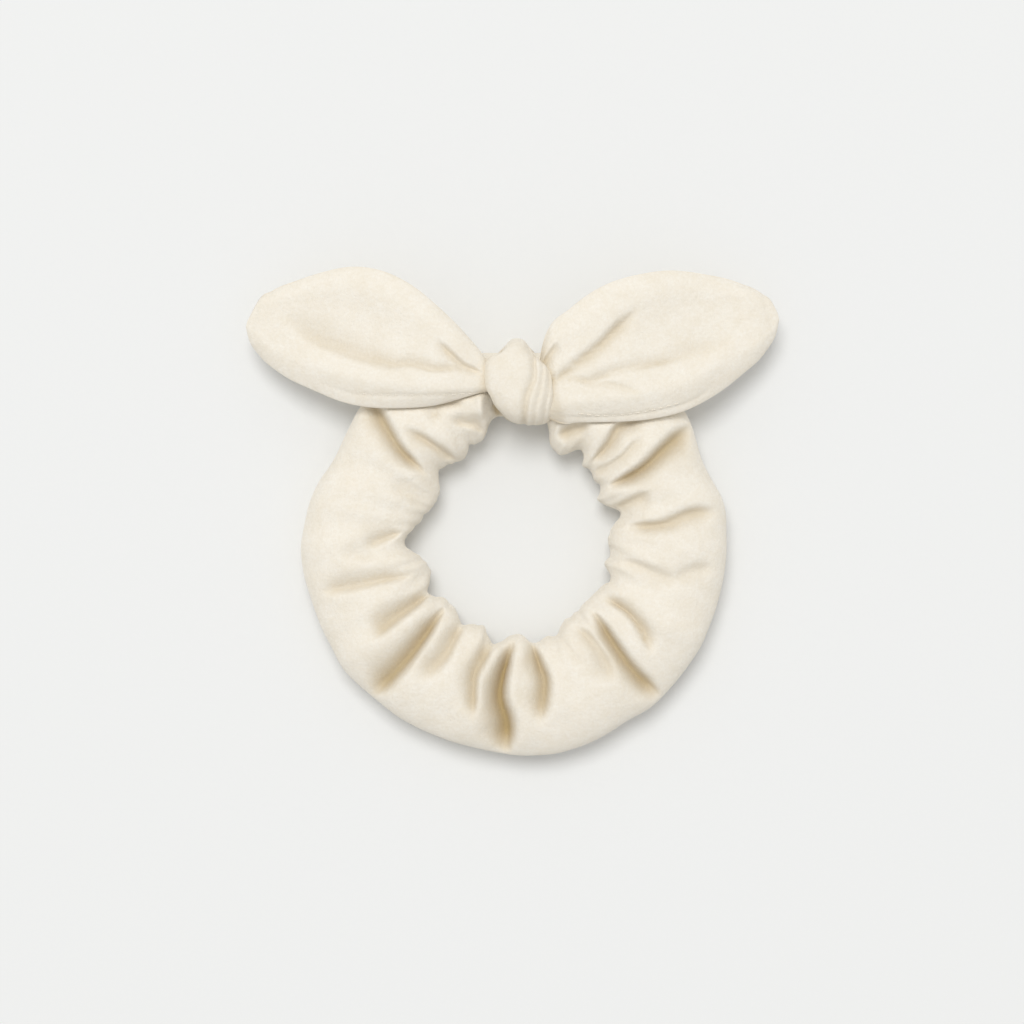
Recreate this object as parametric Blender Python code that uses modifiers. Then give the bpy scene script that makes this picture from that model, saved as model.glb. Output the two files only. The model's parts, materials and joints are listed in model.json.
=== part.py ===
"""Knotted bunny-ear hair scrunchie, lying flat.

A gathered velour sleeve runs round a flat elastic loop. A short tie with two leaf-shaped ears is
knotted once round the sleeve, over the seam that closes the sleeve into a ring.

Frame: +Z up, origin under the centre of the whole object, the knot towards +Y, left is -X.
Sizes below are in millimetres and degrees. An angle round the ring is measured at the ring's centre,
from +Y (the knot) towards -X (the left).
"""
import math

import bmesh
import bpy
from mathutils import Matrix, Vector

MM = 0.001

# Ring
RING_CENTRE_Y = -5.5
RING_INNER = 26.5
RING_OUTER_SHOULDER = 52.5
RING_OUTER_SIDE = 58.0
RING_OUTER_FAR = 60.0
RING_HEIGHT = 20.0
SHOULDER_HEIGHT = 15.5
WALL = 1.2
SECTION_POINTS = 16
SECTION_FULLNESS = 0.8  # below 1 makes the section squarer than an ellipse
UNDERSIDE_CUT = 0.06  # share of the section's height that the flat underside takes off
SIDE_ANGLES = (45.0, 95.0)  # where the outer edge goes over from the shoulder to the side
FAR_ANGLES = (100.0, 165.0)  # and from the side to the far end
TOP_ANGLES = (48.0, 80.0)  # where the top rises clear of the ears

# Where the knot squeezes the ring
NECK_INNER = 31.3
NECK_OUTER = 47.9
NECK_LOW = 3.3
NECK_HIGH = 15.0
NECK_ANGLE = 19.0
SPREAD_ANGLE = 40.0
SETTLE_ANGLE = 34.0  # where the underside reaches the ground
STRAIGHT_LIMIT = 0.5  # least cosine, so that the straight run inside the knot stays short

# Splits of the sleeve
CLOSING_GAP = 1.3
SPLIT_ANGLE = 90.0
SPLIT_HALF_GAP = 0.3

# Elastic and threads
ELASTIC_INSET = 4.0
ELASTIC_WIDTH = 6.0
ELASTIC_THICKNESS = 0.8
ELASTIC_Z = 8.6
SPLICE_START = 20.0
SPLICE_ANGLE = 23.0
SPLICE_LIFT = 1.15
SPLICE_RISE = (335.0, 374.0)  # where the strip's far end climbs over its near end
SPLICE_MARGIN = 3.0
ZIGZAG = 2.0
ZIGZAG_GAP = 0.35
THREAD = 0.5
SEAM_Z = 2.1
SEAM_SHIFT = 0.05  # share of the width by which the seam lies nearer the hole

# Knot
KNOT_X = 1.3
KNOT_Y = 34.2
KNOT_WIDTH = 18.4
KNOT_DEPTH = 23.1
KNOT_HEIGHT = 27.0
WRAP_WALL = 2.7
WRAP_FLOOR = 3.0
CORNER = 0.42  # power that squares the collar; 1 would make it round
WRAP_EDGE = 1.2  # how far in from its side faces the collar's rounding ends
WRAP_EDGE_SHARES = (0.5, 0.9)  # shares of the wall's thickness at the side face and where the rounding ends
CORE_SIZE = (5.4, 13.0, 8.4)
CORE_Z = 19.7
CORE_ROUNDING = 1.4

# Ears, measured from the pivot where each one leaves the knot
PIVOT_OUT = 6.6
PIVOT_Y = 33.4
EAR_ANGLE = 15.0
EAR_REACH = 70.2
EAR_START = 8.4
EAR_Z = 20.0
EAR_HALF_THICKNESS = 2.4
EAR_BOW = 4.5
EAR_DROOP = 7.0
EAR_EDGE_GAP = 1.1
EAR_LENGTH_STEPS = 11
EAR_WIDTH_STEPS = 8
PANEL_CROWDING = 1.4  # above 1 sets the panel's rows closer together towards the tip
SEAM_CROWDING = 1.3
SEAM_END = 0.97  # share of the ear's length where the seam turns back
NECK_ROOT_RADIUS = 3.6
NECK_MOUTH = 5.1
NECK_MOUTH_HALF_WIDTH = 4.2
NECK_GAP = 0.4
# (share of the ear's length, half-width) from the neck to the tip
EAR_OUTLINE = ((0.0, 5.9), (0.12, 12.0), (0.26, 16.0), (0.42, 18.0), (0.54, 17.8), (0.67, 16.0),
               (0.78, 13.4), (0.88, 10.0), (0.95, 6.4), (1.0, 2.2))
SEAM_INSET = 2.2
SEAM_INSET_SHARE = 0.6  # of the half-width, where the ear is too narrow for the full inset

VELOUR = (0.91, 0.84, 0.69)
ELASTIC_WHITE = (0.85, 0.84, 0.82)
THREAD_CREAM = (0.88, 0.80, 0.66)


def smooth_step(value, low, high):
    share = min(max((value - low) / (high - low), 0.0), 1.0)
    return share * share * (3.0 - 2.0 * share)


def mix(start, end, share):
    return start + (end - start) * share


def ring_inner(angle):
    """Inner radius: the ring is straight inside the knot and round elsewhere."""
    straight = NECK_INNER / max(math.cos(math.radians(angle)), STRAIGHT_LIMIT)
    return mix(straight, RING_INNER, smooth_step(abs(angle), NECK_ANGLE, SPREAD_ANGLE))


def ring_outer(angle):
    turn = abs(angle)
    straight = NECK_OUTER / max(math.cos(math.radians(angle)), STRAIGHT_LIMIT)
    radius = mix(straight, RING_OUTER_SHOULDER, smooth_step(turn, NECK_ANGLE, SPREAD_ANGLE))
    radius = mix(radius, RING_OUTER_SIDE, smooth_step(turn, *SIDE_ANGLES))
    return mix(radius, RING_OUTER_FAR, smooth_step(turn, *FAR_ANGLES))


def ring_low(angle):
    return mix(NECK_LOW, 0.0, smooth_step(abs(angle), NECK_ANGLE, SETTLE_ANGLE))


def ring_high(angle):
    height = mix(NECK_HIGH, SHOULDER_HEIGHT, smooth_step(abs(angle), NECK_ANGLE, SPREAD_ANGLE))
    return mix(height, RING_HEIGHT, smooth_step(abs(angle), *TOP_ANGLES))


def signed(angle):
    """The same direction as an angle between -180 and 180 degrees."""
    return (angle + 180.0) % 360.0 - 180.0


def ring_point(angle, radius, height):
    turn = math.radians(angle)
    return Vector((-radius * math.sin(turn), RING_CENTRE_Y + radius * math.cos(turn), height))


def powered(value, power):
    return math.copysign(abs(value) ** power, value)


def section(angle, inset=0.0):
    """One closed section of the sleeve, counted round from the outer edge over the top."""
    turn = signed(angle)
    inner, outer = ring_inner(turn), ring_outer(turn)
    low, high = ring_low(turn), ring_high(turn)
    cut = UNDERSIDE_CUT * (high - low)
    middle, half_width = (inner + outer) / 2, (outer - inner) / 2 - inset
    centre, half_height = (high + low - cut) / 2, (high - low + cut) / 2 - inset
    points = []
    for index in range(SECTION_POINTS):
        step = 2 * math.pi * index / SECTION_POINTS
        radius = middle + half_width * powered(math.cos(step), SECTION_FULLNESS)
        height = centre + half_height * powered(math.sin(step), SECTION_FULLNESS)
        points.append(ring_point(angle, radius, max(height, low + inset)))
    return points


def mesh_object(name, points, faces, material):
    mesh = bpy.data.meshes.new(name)
    mesh.from_pydata([point * MM for point in points], [], faces)
    mesh.materials.append(material)
    mesh.shade_smooth()
    obj = bpy.data.objects.new(name, mesh)
    PARTS.objects.link(obj)
    return obj


def loft(name, rings, material, closed_path=False, closed_ring=True):
    """A surface through a row of sections that have the same number of points."""
    count = len(rings[0])
    points = [point for ring in rings for point in ring]
    spans = len(rings) if closed_path else len(rings) - 1
    sides = count if closed_ring else count - 1
    faces = []
    for span in range(spans):
        here, there = span * count, (span + 1) % len(rings) * count
        for side in range(sides):
            after = (side + 1) % count
            faces.append((here + side, there + side, there + after, here + after))
    return mesh_object(name, points, faces, material)


def thicken(obj, thickness, offset):
    """Solidify: offset -1 grows the wall inwards, 0 to both sides."""
    solid = obj.modifiers.new("wall", "SOLIDIFY")
    solid.thickness = thickness * MM
    solid.offset = offset
    return obj


def thread(name, points, material, closed=False):
    curve = bpy.data.curves.new(name, "CURVE")
    curve.dimensions = "3D"
    curve.bevel_depth = THREAD / 2 * MM
    curve.bevel_resolution = 1
    curve.use_fill_caps = not closed
    spline = curve.splines.new("POLY")
    spline.points.add(len(points) - 1)
    for spot, point in zip(spline.points, points):
        spot.co = (*(point * MM), 1.0)
    spline.use_cyclic_u = closed
    curve.materials.append(material)
    obj = bpy.data.objects.new(name, curve)
    PARTS.objects.link(obj)
    return obj


def fabric(name, colour, roughness):
    material = bpy.data.materials.new(name)
    material.use_nodes = True
    shader = material.node_tree.nodes["Principled BSDF"]
    shader.inputs["Base Color"].default_value = (*colour, 1.0)
    shader.inputs["Roughness"].default_value = roughness
    shader.inputs["Metallic"].default_value = 0.0
    return material


def steps(start, end, count):
    return [mix(start, end, index / count) for index in range(count + 1)]


def sleeve_part(name, start, end, count):
    rings = [section(angle) for angle in steps(start, end, count)]
    return thicken(loft(name, rings, fabric(name + "_velour", VELOUR, 0.9)), WALL, -1.0)


def sleeve():
    closing = math.degrees(math.atan(CLOSING_GAP / 2 / NECK_INNER))
    split = SPLIT_ANGLE - SPLIT_HALF_GAP
    far = SPLIT_ANGLE + SPLIT_HALF_GAP
    left = sleeve_part("sleeve_left_shoulder", closing, split, 18)
    right = sleeve_part("sleeve_right_shoulder", -split, -closing, 18)
    return left, right, sleeve_part("sleeve_far_half", far, 360.0 - far, 28)


def seam_run(name, start, end, count, material):
    """The thread of the lengthwise seam, just inside the sleeve's underside."""
    points = []
    for angle in steps(start, end, count):
        turn = signed(angle)
        inner, outer = ring_inner(turn), ring_outer(turn)
        radius = (inner + outer) / 2 - SEAM_SHIFT * (outer - inner)
        points.append(ring_point(angle, radius, ring_low(turn) + SEAM_Z))
    return thread(name, points, material)


def sleeve_seams():
    material = fabric("seam_thread", THREAD_CREAM, 0.7)
    left = seam_run("sleeve_seam_left", 3.0, SPLIT_ANGLE - 1.0, 14, material)
    right = seam_run("sleeve_seam_right", 1.0 - SPLIT_ANGLE, -3.0, 14, material)
    far = seam_run("sleeve_seam_far", SPLIT_ANGLE + 1.0, 359.0 - SPLIT_ANGLE, 24, material)
    return left, right, far


def closing_stitches():
    """The thread between the sleeve's two joined ends, half way into their wall."""
    material = fabric("closing_thread", THREAD_CREAM, 0.7)
    return thread("sleeve_closing_stitches", section(0.0, WALL / 2), material, closed=True)


def elastic_radius(angle):
    return ring_inner(signed(angle)) + ELASTIC_INSET


def elastic_loop():
    """One strip laid once round the ring, its far end lying outside its near end at the splice."""
    rows = []
    end = SPLICE_START + 360.0 + SPLICE_ANGLE
    for angle in steps(SPLICE_START, end, 76):
        lift = SPLICE_LIFT * smooth_step(angle, *SPLICE_RISE)
        radius = elastic_radius(angle) + lift
        low, high = ELASTIC_Z - ELASTIC_WIDTH / 2, ELASTIC_Z + ELASTIC_WIDTH / 2
        rows.append([ring_point(angle, radius, low), ring_point(angle, radius, high)])
    strip = loft("elastic_loop", rows, fabric("elastic", ELASTIC_WHITE, 0.8), closed_ring=False)
    return thicken(strip, ELASTIC_THICKNESS, 0.0)


def splice_stitches():
    """A zigzag of thread on the outer face of the splice."""
    out = SPLICE_LIFT + ELASTIC_THICKNESS / 2 + THREAD / 2 + ZIGZAG_GAP
    points = []
    start, end = SPLICE_START + SPLICE_MARGIN, SPLICE_START + SPLICE_ANGLE - SPLICE_MARGIN
    for index, angle in enumerate(steps(start, end, 9)):
        side = 1 if index % 2 else -1
        points.append(ring_point(angle, elastic_radius(angle) + out, ELASTIC_Z + ZIGZAG * side))
    return thread("elastic_splice_stitches", points, fabric("splice_thread", THREAD_CREAM, 0.7))


def squared(step, half_width, half_height):
    """A point of a rounded rectangle, as a share of a full turn."""
    angle = 2 * math.pi * step
    return half_width * powered(math.cos(angle), CORNER), half_height * powered(math.sin(angle), CORNER)


def knot_wrap():
    """The turn of the tie round the ring: a closed collar with a tunnel along X."""
    half = KNOT_WIDTH / 2
    face, shoulder = WRAP_EDGE_SHARES
    profile = ((-half, face), (WRAP_EDGE - half, shoulder), (0.0, 1.0), (half - WRAP_EDGE, shoulder),
               (half, face), (half, 0.0), (0.0, 0.0), (-half, 0.0))
    tunnel_high = KNOT_HEIGHT - WRAP_WALL
    rings = []
    for index in range(28):
        step = index / 28
        out_y, out_z = squared(step, KNOT_DEPTH / 2, KNOT_HEIGHT / 2)
        in_y, in_z = squared(step, KNOT_DEPTH / 2 - WRAP_WALL, (tunnel_high - WRAP_FLOOR) / 2)
        outer = Vector((KNOT_X, KNOT_Y + out_y, KNOT_HEIGHT / 2 + out_z))
        inner = Vector((KNOT_X, KNOT_Y + in_y, (tunnel_high + WRAP_FLOOR) / 2 + in_z))
        rings.append([inner.lerp(outer, share) + Vector((along, 0, 0)) for along, share in profile])
    return loft("knot_wrap", rings, fabric("knot_velour", VELOUR, 0.9), closed_path=True)


def knot_core():
    """The crossing of the tie inside the knot."""
    bpy.ops.mesh.primitive_cube_add(size=MM, location=(KNOT_X * MM, KNOT_Y * MM, CORE_Z * MM))
    core = bpy.context.object
    core.name = "knot_core"
    core.data.name = "knot_core"
    core.data.transform(Matrix.Diagonal((*CORE_SIZE, 1.0)))
    for owner in list(core.users_collection):
        owner.objects.unlink(core)
    PARTS.objects.link(core)
    core.data.materials.append(fabric("core_velour", VELOUR, 0.9))
    bevel = core.modifiers.new("rounding", "BEVEL")
    bevel.width = CORE_ROUNDING * MM
    bevel.segments = 2
    return core


class Ear:
    """Where one ear is: side is -1 for the left ear and 1 for the right one."""

    def __init__(self, side):
        self.name = "left" if side < 0 else "right"
        turn = math.radians(EAR_ANGLE)
        self.pivot = Vector((KNOT_X + side * PIVOT_OUT, PIVOT_Y, 0.0))
        self.along = Vector((side * math.cos(turn), math.sin(turn), 0.0))
        self.across = Vector((-side * math.sin(turn), math.cos(turn), 0.0))
        self.side = side
        self.length = (EAR_REACH - side * self.pivot.x) / math.cos(turn)
        self.hinge = self.point(EAR_START - NECK_GAP / 2, 0.0, EAR_Z + EAR_HALF_THICKNESS)

    def point(self, distance, offset, height):
        return self.pivot + self.along * distance + self.across * offset + Vector((0, 0, height))

    def half_width(self, share):
        for (low, narrow), (high, wide) in zip(EAR_OUTLINE, EAR_OUTLINE[1:]):
            if share <= high:
                return mix(narrow, wide, (share - low) / (high - low))
        return EAR_OUTLINE[-1][1]

    def surface(self, share, offset_share, level, inset=0.0):
        """A point of the blade: level is 1 on the front, -1 on the back, 0 between the panels."""
        distance = mix(EAR_START, self.length, share)
        width = self.half_width(share) - inset
        bow = EAR_BOW * math.sin(math.pi * share)
        middle = EAR_Z - EAR_DROOP * share * share
        crown = EAR_HALF_THICKNESS - WALL - EAR_EDGE_GAP / 2
        puff = EAR_EDGE_GAP / 2 + crown * (1.0 - offset_share ** 2) * (1.0 - share ** 3)
        return self.point(distance, bow + width * offset_share, middle + level * puff)


def ear_panel(ear, level):
    """One velour panel of an ear, its wall growing away from the other panel."""
    name = f"{ear.name}_ear_{'front' if level > 0 else 'back'}_panel"
    shares = [1.0 - (1.0 - share) ** PANEL_CROWDING for share in steps(0.0, 1.0, EAR_LENGTH_STEPS)]
    rows = []
    for share in shares:
        rows.append([ear.surface(share, place, level) for place in steps(-1.0, 1.0, EAR_WIDTH_STEPS)])
    if ear.side * level > 0:
        rows.reverse()
    panel = loft(name, rows, fabric(name + "_velour", VELOUR, 0.9), closed_ring=False)
    return thicken(panel, WALL, -1.0)


def ear_seam(ear):
    """The thread that joins the panels, from the neck round the tip and back."""
    places = [1.0 - (1.0 - share) ** SEAM_CROWDING for share in steps(0.0, SEAM_END, 15)]
    insets = [min(SEAM_INSET, SEAM_INSET_SHARE * ear.half_width(share)) for share in places]
    there = [ear.surface(share, -1.0, 0.0, inset) for share, inset in zip(places, insets)]
    back = [ear.surface(share, 1.0, 0.0, inset) for share, inset in zip(places, insets)]
    name = f"{ear.name}_ear_edge_seam"
    return thread(name, there + back[::-1], fabric(name + "_thread", THREAD_CREAM, 0.7))


def ear_neck(ear):
    """Where the ear leaves the knot: a round root on the pivot that widens towards the blade."""
    end = EAR_START - NECK_GAP
    arc = [math.radians(angle) for angle in range(90, 271, 20)]
    outline = [(NECK_ROOT_RADIUS * math.cos(turn), NECK_ROOT_RADIUS * math.sin(turn)) for turn in arc]
    outline += [(NECK_MOUTH, -NECK_MOUTH_HALF_WIDTH), (end, -EAR_OUTLINE[0][1])]
    outline += [(end, EAR_OUTLINE[0][1]), (NECK_MOUTH, NECK_MOUTH_HALF_WIDTH)]
    name = f"{ear.name}_ear_neck"
    curve = bpy.data.curves.new(name, "CURVE")
    curve.dimensions = "2D"
    curve.fill_mode = "BOTH"
    curve.extrude = EAR_HALF_THICKNESS * MM
    spline = curve.splines.new("POLY")
    spline.points.add(len(outline) - 1)
    for spot, (distance, offset) in zip(spline.points, outline):
        place = ear.along * distance + ear.across * offset
        spot.co = (place.x * MM, place.y * MM, 0.0, 1.0)
    spline.use_cyclic_u = True
    curve.materials.append(fabric(name + "_velour", VELOUR, 0.9))
    obj = bpy.data.objects.new(name, curve)
    obj.location = (0.0, 0.0, EAR_Z * MM)
    PARTS.objects.link(obj)
    return obj


def joint_empty(name, place, parent=None):
    """An empty on a joint's axis; its parent's place is taken off, because a child is placed under it."""
    empty = bpy.data.objects.new(name, None)
    empty.empty_display_size = 5 * MM
    empty.location = place * MM
    if parent:
        empty.parent = parent
        empty.location = place * MM - parent.matrix_world.translation
    PARTS.objects.link(empty)
    bpy.context.view_layer.update()
    return empty


def hang(objects, empty):
    """Parents objects whose shape is in world space, moving their origin to the empty."""
    for obj in objects:
        obj.data.transform(Matrix.Translation(-empty.matrix_world.translation))
        obj.parent = empty


def ring():
    left_sleeve, right_sleeve, far_sleeve = sleeve()
    left_seam, right_seam, far_seam = sleeve_seams()
    closing_stitches()
    elastic_loop()
    splice_stitches()
    stretch = joint_empty("ring_stretch", Vector((0.0, RING_CENTRE_Y, 0.0)))
    hang((far_sleeve, far_seam), stretch)


def ears():
    for side in (-1, 1):
        ear = Ear(side)
        swing = joint_empty(f"{ear.name}_ear_swing", ear.pivot)
        lift = joint_empty(f"{ear.name}_ear_lift", ear.hinge, swing)
        neck = ear_neck(ear)
        neck.parent = swing
        hang((ear_panel(ear, 1), ear_panel(ear, -1), ear_seam(ear)), lift)


def clear_scene():
    for obj in list(bpy.data.objects):
        bpy.data.objects.remove(obj, do_unlink=True)


clear_scene()
PARTS = bpy.data.collections.new("scrunchie")
bpy.context.scene.collection.children.link(PARTS)
ring()
knot_wrap()
knot_core()
ears()
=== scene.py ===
import json
import math

import bmesh
import bpy
import numpy as np
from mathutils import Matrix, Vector
from mathutils.noise import noise as noise_at


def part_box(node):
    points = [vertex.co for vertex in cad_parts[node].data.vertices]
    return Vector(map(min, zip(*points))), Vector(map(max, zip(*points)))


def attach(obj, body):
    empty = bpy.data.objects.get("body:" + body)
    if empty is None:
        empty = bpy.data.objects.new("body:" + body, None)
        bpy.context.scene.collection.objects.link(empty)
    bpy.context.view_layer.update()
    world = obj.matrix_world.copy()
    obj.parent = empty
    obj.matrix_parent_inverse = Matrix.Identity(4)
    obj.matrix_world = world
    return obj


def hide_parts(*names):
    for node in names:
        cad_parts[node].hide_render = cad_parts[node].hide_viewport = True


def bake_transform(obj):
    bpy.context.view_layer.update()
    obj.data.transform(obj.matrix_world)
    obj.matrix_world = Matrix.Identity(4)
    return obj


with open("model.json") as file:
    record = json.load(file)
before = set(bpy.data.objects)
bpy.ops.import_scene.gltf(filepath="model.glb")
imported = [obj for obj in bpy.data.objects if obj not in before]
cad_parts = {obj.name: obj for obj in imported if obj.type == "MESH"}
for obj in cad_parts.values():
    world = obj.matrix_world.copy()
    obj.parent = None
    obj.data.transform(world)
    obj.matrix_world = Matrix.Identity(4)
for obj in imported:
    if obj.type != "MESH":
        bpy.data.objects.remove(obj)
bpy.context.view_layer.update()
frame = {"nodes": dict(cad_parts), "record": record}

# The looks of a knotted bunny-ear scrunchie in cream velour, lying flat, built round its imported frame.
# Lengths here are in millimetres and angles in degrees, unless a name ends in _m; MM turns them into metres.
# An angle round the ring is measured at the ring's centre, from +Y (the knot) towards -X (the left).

MM = 0.001


# ---------------------------------------------------------------- places read from the frame

def box_mm(node):
    low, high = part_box(node)
    return np.array(low) / MM, np.array(high) / MM


JOINTS = {joint["name"]: joint for joint in frame["record"]["behaviour"]["joints"]}
FAR_HIGH = box_mm("sleeve_far_half")[1]
LEFT_LOW = box_mm("sleeve_left_shoulder")[0]
KNOT_LOW, KNOT_HIGH = box_mm("knot_wrap")
NECK_LOW, NECK_HIGH = box_mm("sleeve_closing_stitches")
EAR_NECK_LOW, EAR_NECK_HIGH = box_mm("left_ear_neck")
ELASTIC_LOW, ELASTIC_HIGH = box_mm("elastic_loop")

RING_Y = (FAR_HIGH[1] + LEFT_LOW[1]) / 2
RING_TOP = FAR_HIGH[2]
KNOT_CENTRE = (KNOT_LOW + KNOT_HIGH) / 2
KNOT_HALF = (KNOT_HIGH - KNOT_LOW) / 2
EAR_TURN = math.radians(15.0)
EAR_MIDDLE = (EAR_NECK_LOW[2] + EAR_NECK_HIGH[2]) / 2


# ---------------------------------------------------------------- small helpers

def smooth_step(value, low, high):
    share = np.clip((np.asarray(value, float) - low) / (high - low), 0.0, 1.0)
    return share * share * (3.0 - 2.0 * share)


def mix(start, end, share):
    return start + (end - start) * share


def power(value, exponent):
    """A power that keeps the sign; below 1 it squares a cosine or sine off."""
    return np.sign(value) * np.abs(value) ** exponent


def through(points, at):
    """A smooth curve through a few given points (x, y), read at x."""
    xs, ys = np.array(points, float).T
    slopes = np.gradient(ys, xs)
    at = np.clip(at, xs[0], xs[-1])
    index = np.clip(np.searchsorted(xs, at) - 1, 0, len(xs) - 2)
    span = xs[index + 1] - xs[index]
    t = (at - xs[index]) / span
    start, end = ys[index], ys[index + 1]
    return ((2 * t**3 - 3 * t**2 + 1) * start + (t**3 - 2 * t**2 + t) * span * slopes[index]
            + (3 * t**2 - 2 * t**3) * end + (t**3 - t**2) * span * slopes[index + 1])


def smooth_path(points, per_span=5):
    """A Catmull-Rom curve through a few points in a plane."""
    points = np.array(points, float)
    ends = np.vstack([2 * points[0] - points[1], points, 2 * points[-1] - points[-2]])
    t = (np.arange(per_span) / per_span)[:, None]
    spans = []
    for a, b, c, d in zip(ends, ends[1:], ends[2:], ends[3:]):
        bend = (2 * a - 5 * b + 4 * c - d) * t**2 + (3 * b - a - 3 * c + d) * t**3
        spans.append(b + ((c - a) * t + bend) / 2)
    return np.vstack([*spans, points[-1:]])


def from_path(places, path):
    """Distance of each place to a path, on which side it lies, and how far along (0 to 1)."""
    lengths = np.hypot(*(path[1:] - path[:-1]).T)
    nearest = np.full(places.shape[:-1], 1e9)
    side = np.zeros(nearest.shape)
    share = np.zeros(nearest.shape)
    done = 0.0
    for index, (start, length) in enumerate(zip(path, lengths)):
        way = (path[index + 1] - start) / length
        offset = places - start
        run = offset @ way
        on_path = np.clip(run, 0.0, length)
        distance = np.hypot(*np.moveaxis(offset - on_path[..., None] * way, -1, 0))
        closer = distance < nearest
        nearest = np.where(closer, distance, nearest)
        side = np.where(closer, way[0] * offset[..., 1] - way[1] * offset[..., 0], side)
        overrun = np.minimum(run, length) if index == 0 else on_path
        share = np.where(closer, (done + overrun) / lengths.sum(), share)
        done += length
    return nearest, side, share


DEEPEST = 6.0  # a crease this deep takes the most painted shade
FADE_IN, FADE_OUT = (-0.12, 0.22), (0.74, 1.06)  # shares of the path over which a crease begins and ends
SIDE_WIDTHS = (1.65, 0.80)  # of the half width, on the gentle and on the steep side
VALLEY_POWERS = (1.5, 2.6)  # how square the valley is on each side
CREASE_SHADE_POWERS = (1.3, 3.0)  # and how square its painted shade is
BANK = 0.08  # height of the swelling beside a crease, for its depth


def sink(places, creases):
    """How deep creases sink the cloth at each place, how their banks swell, and how much painted shade they
    get.

    A crease is its depth, its half width at each end and a path. It is steeper on the path's left, in the
    coordinates that the places are given in.
    """
    sunk = np.zeros(places.shape[:-1])
    bank = np.zeros(sunk.shape)
    shade = np.zeros(sunk.shape)
    for depth, start_width, end_width, path in creases:
        distance, side, share = from_path(places, smooth_path(path))
        steep = smooth_step(side, -0.4, 0.4)
        ends = smooth_step(share, *FADE_IN) * (1.0 - smooth_step(share, *FADE_OUT))
        width = mix(start_width, end_width, share) * mix(*SIDE_WIDTHS, steep) * (0.35 + 0.65 * ends)
        valley = ends * np.exp(-np.abs(distance / width) ** mix(*VALLEY_POWERS, steep))
        sunk = np.maximum(sunk, depth * valley)
        # painted shade along the crease, spread a little wider than its valley
        crease_shade = ends * np.exp(-np.abs(distance / width) ** mix(*CREASE_SHADE_POWERS, steep))
        shade = np.maximum(shade, crease_shade * min(depth / DEEPEST, 1.0) ** 1.3)
        bank += BANK * depth * ends * np.exp(-((distance - 2.2 * width - 0.8) / (1.2 * width + 1.0)) ** 2)
    return sunk, bank, shade


def grid_mesh(name, grid, wrap_rows=False, wrap_columns=True, painted_shade=None):
    """A mesh of quads through a grid of points in millimetres, with an optional value at each point."""
    rows, columns = grid.shape[:2]
    index = np.arange(rows * columns).reshape(rows, columns)
    faces = []
    for row in range(rows if wrap_rows else rows - 1):
        for column in range(columns if wrap_columns else columns - 1):
            below, beside = (row + 1) % rows, (column + 1) % columns
            faces.append((index[row, column], index[row, beside], index[below, beside], index[below, column]))
    mesh = bpy.data.meshes.new(name)
    corners = [tuple(int(i) for i in face) for face in faces]
    mesh.from_pydata((grid.reshape(-1, 3) * MM).tolist(), [], corners)
    mesh.shade_smooth()
    if painted_shade is not None:
        layer = mesh.attributes.new("painted_shade", "FLOAT", "POINT")
        layer.data.foreach_set("value", np.ascontiguousarray(painted_shade.reshape(-1), dtype=np.float32))
    obj = bpy.data.objects.new(name, mesh)
    bpy.context.scene.collection.objects.link(obj)
    return obj


def close_ends(obj, rows, columns):
    """Caps the first and last ring of a grid mesh with a face each."""
    body = bmesh.new()
    body.from_mesh(obj.data)
    body.verts.ensure_lookup_table()
    body.faces.new([body.verts[i] for i in range(columns)][::-1])
    body.faces.new([body.verts[(rows - 1) * columns + i] for i in range(columns)])
    bmesh.ops.recalc_face_normals(body, faces=body.faces)
    body.to_mesh(obj.data)
    body.free()
    obj.data.shade_smooth()


def relax(grid, strength, times, wrap_rows=False):
    """Evens a grid whose columns run round a tube."""
    grid = grid.copy()
    for _ in range(times):
        around = (np.roll(grid, 1, 1) + np.roll(grid, -1, 1)) / 2
        along = grid.copy()
        if wrap_rows:
            along = (np.roll(grid, 1, 0) + np.roll(grid, -1, 0)) / 2
        else:
            along[1:-1] = (grid[:-2] + grid[2:]) / 2
        grid = grid + strength * ((around + along) / 2 - grid)
    return grid


def grid_normals(grid):
    """Unit normals of the sleeve's grid, from differences along and round it."""
    along = np.gradient(grid, axis=0)
    around = np.roll(grid, -1, 1) - np.roll(grid, 1, 1)
    normal = np.cross(along, around)
    return normal / np.maximum(np.linalg.norm(normal, axis=2, keepdims=True), 1e-9)


def add_subdivision(obj, levels):
    subdivision = obj.modifiers.new("subdivision", "SUBSURF")
    subdivision.levels = levels
    subdivision.render_levels = levels


# ---------------------------------------------------------------- materials

def shader_of(name, colour, roughness):
    material = bpy.data.materials.new(name)
    material.use_nodes = True
    shader = material.node_tree.nodes["Principled BSDF"]
    shader.inputs["Base Color"].default_value = (*colour, 1.0)
    shader.inputs["Roughness"].default_value = roughness
    return material, material.node_tree, shader


def noise(tree, scale, detail, roughness=0.5):
    coordinates = tree.nodes.new("ShaderNodeTexCoord")
    texture = tree.nodes.new("ShaderNodeTexNoise")
    texture.inputs["Scale"].default_value = scale
    texture.inputs["Detail"].default_value = detail
    texture.inputs["Roughness"].default_value = roughness
    tree.links.new(coordinates.outputs["Object"], texture.inputs["Vector"])
    return texture


def blend_colour(tree, factor, first, second):
    node = tree.nodes.new("ShaderNodeMix")
    node.data_type = "RGBA"
    tree.links.new(factor, node.inputs["Factor"])
    for socket, colour in ((node.inputs[6], first), (node.inputs[7], second)):
        if isinstance(colour, tuple):
            socket.default_value = (*colour, 1.0)
        else:
            tree.links.new(colour, socket)
    return node.outputs[2]


def bump(tree, height, distance_m, strength, before=None):
    node = tree.nodes.new("ShaderNodeBump")
    node.inputs["Distance"].default_value = distance_m
    node.inputs["Strength"].default_value = strength
    tree.links.new(height, node.inputs["Height"])
    if before:
        tree.links.new(before, node.inputs["Normal"])
    return node.outputs["Normal"]


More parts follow.
